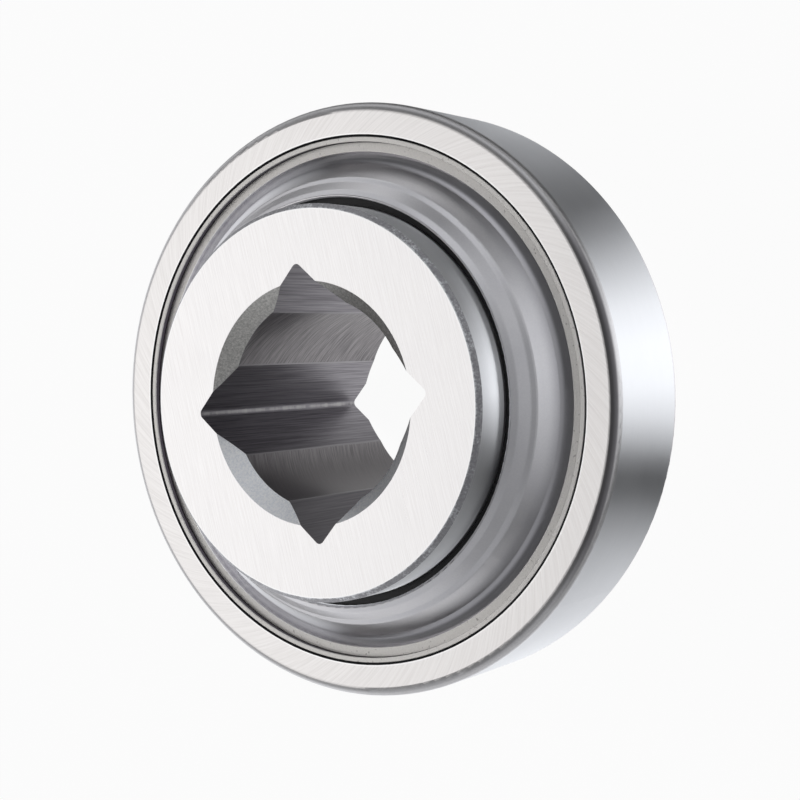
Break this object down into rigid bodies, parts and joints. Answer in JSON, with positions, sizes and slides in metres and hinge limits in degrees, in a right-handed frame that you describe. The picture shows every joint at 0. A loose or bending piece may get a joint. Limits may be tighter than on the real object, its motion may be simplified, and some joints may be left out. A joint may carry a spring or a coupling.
{
  "type": "square bore insert bearing",
  "caption": "Sealed insert ball bearing with a plain cylindrical outer ring, pressed steel shrouds and a wide inner ring with a square bore for a square shaft.",
  "frame": {"origin": "centre of the bearing, midway between the inner ring's two end faces", "axes": "+Z along the bearing's axis, out of the front; +X and +Y square to the bore's flats"},
  "size_m": [0.08, 0.08, 0.0364],
  "materials": {
    "ring_steel": "hardened bearing steel, ground on its faces and outside",
    "shroud_steel": "pressed steel sheet, satin",
    "cage_steel": "pressed low-carbon steel sheet",
    "ball_steel": "lapped bearing steel balls, mirror finish",
    "seal_rubber": "black nitrile rubber, matt"
  },
  "bodies": {
    "outer_ring": {"outer_ring": "ring_steel", "front_shroud": "shroud_steel", "back_shroud": "shroud_steel", "front_seal": "seal_rubber", "back_seal": "seal_rubber", "front_retainer": "cage_steel", "back_retainer": "cage_steel"},
    "inner_ring": {"inner_ring": "ring_steel"},
    "cage": {"front_cage": "cage_steel", "back_cage": "cage_steel", "cage_rivets": "cage_steel"},
    "ball_1": {"ball_1": "ball_steel"},
    "ball_2": {"ball_2": "ball_steel"},
    "ball_3": {"ball_3": "ball_steel"},
    "ball_4": {"ball_4": "ball_steel"},
    "ball_5": {"ball_5": "ball_steel"},
    "ball_6": {"ball_6": "ball_steel"},
    "ball_7": {"ball_7": "ball_steel"},
    "ball_8": {"ball_8": "ball_steel"},
    "ball_9": {"ball_9": "ball_steel"}
  },
  "joints": [
    {"name": "inner_ring_spin", "type": "hinge", "parent": "outer_ring", "child": "inner_ring", "pos_m": [0, 0, 0], "axis": [0, 0, 1], "continuous": true},
    {"name": "cage_orbit", "type": "hinge", "parent": "outer_ring", "child": "cage", "pos_m": [0, 0, 0], "axis": [0, 0, 1], "continuous": true},
    {"name": "ball_1_roll", "type": "hinge", "parent": "cage", "child": "ball_1", "pos_m": [0.03, 0, 0], "axis": [0, 0, 1], "continuous": true},
    {"name": "ball_2_roll", "type": "hinge", "parent": "cage", "child": "ball_2", "pos_m": [0.02298, 0.01928, 0], "axis": [0, 0, 1], "continuous": true},
    {"name": "ball_3_roll", "type": "hinge", "parent": "cage", "child": "ball_3", "pos_m": [0.00521, 0.02954, 0], "axis": [0, 0, 1], "continuous": true},
    {"name": "ball_4_roll", "type": "hinge", "parent": "cage", "child": "ball_4", "pos_m": [-0.015, 0.02598, 0], "axis": [0, 0, 1], "continuous": true},
    {"name": "ball_5_roll", "type": "hinge", "parent": "cage", "child": "ball_5", "pos_m": [-0.02819, 0.01026, 0], "axis": [0, 0, 1], "continuous": true},
    {"name": "ball_6_roll", "type": "hinge", "parent": "cage", "child": "ball_6", "pos_m": [-0.02819, -0.01026, 0], "axis": [0, 0, 1], "continuous": true},
    {"name": "ball_7_roll", "type": "hinge", "parent": "cage", "child": "ball_7", "pos_m": [-0.015, -0.02598, 0], "axis": [0, 0, 1], "continuous": true},
    {"name": "ball_8_roll", "type": "hinge", "parent": "cage", "child": "ball_8", "pos_m": [0.00521, -0.02954, 0], "axis": [0, 0, 1], "continuous": true},
    {"name": "ball_9_roll", "type": "hinge", "parent": "cage", "child": "ball_9", "pos_m": [0.02298, -0.01928, 0], "axis": [0, 0, 1], "continuous": true}
  ],
  "couplings": [
    {"joint": "cage_orbit", "follows": "inner_ring_spin", "ratio": 0.4},
    {"joint": "ball_1_roll", "follows": "inner_ring_spin", "ratio": -2.4},
    {"joint": "ball_2_roll", "follows": "inner_ring_spin", "ratio": -2.4},
    {"joint": "ball_3_roll", "follows": "inner_ring_spin", "ratio": -2.4},
    {"joint": "ball_4_roll", "follows": "inner_ring_spin", "ratio": -2.4},
    {"joint": "ball_5_roll", "follows": "inner_ring_spin", "ratio": -2.4},
    {"joint": "ball_6_roll", "follows": "inner_ring_spin", "ratio": -2.4},
    {"joint": "ball_7_roll", "follows": "inner_ring_spin", "ratio": -2.4},
    {"joint": "ball_8_roll", "follows": "inner_ring_spin", "ratio": -2.4},
    {"joint": "ball_9_roll", "follows": "inner_ring_spin", "ratio": -2.4}
  ]
}
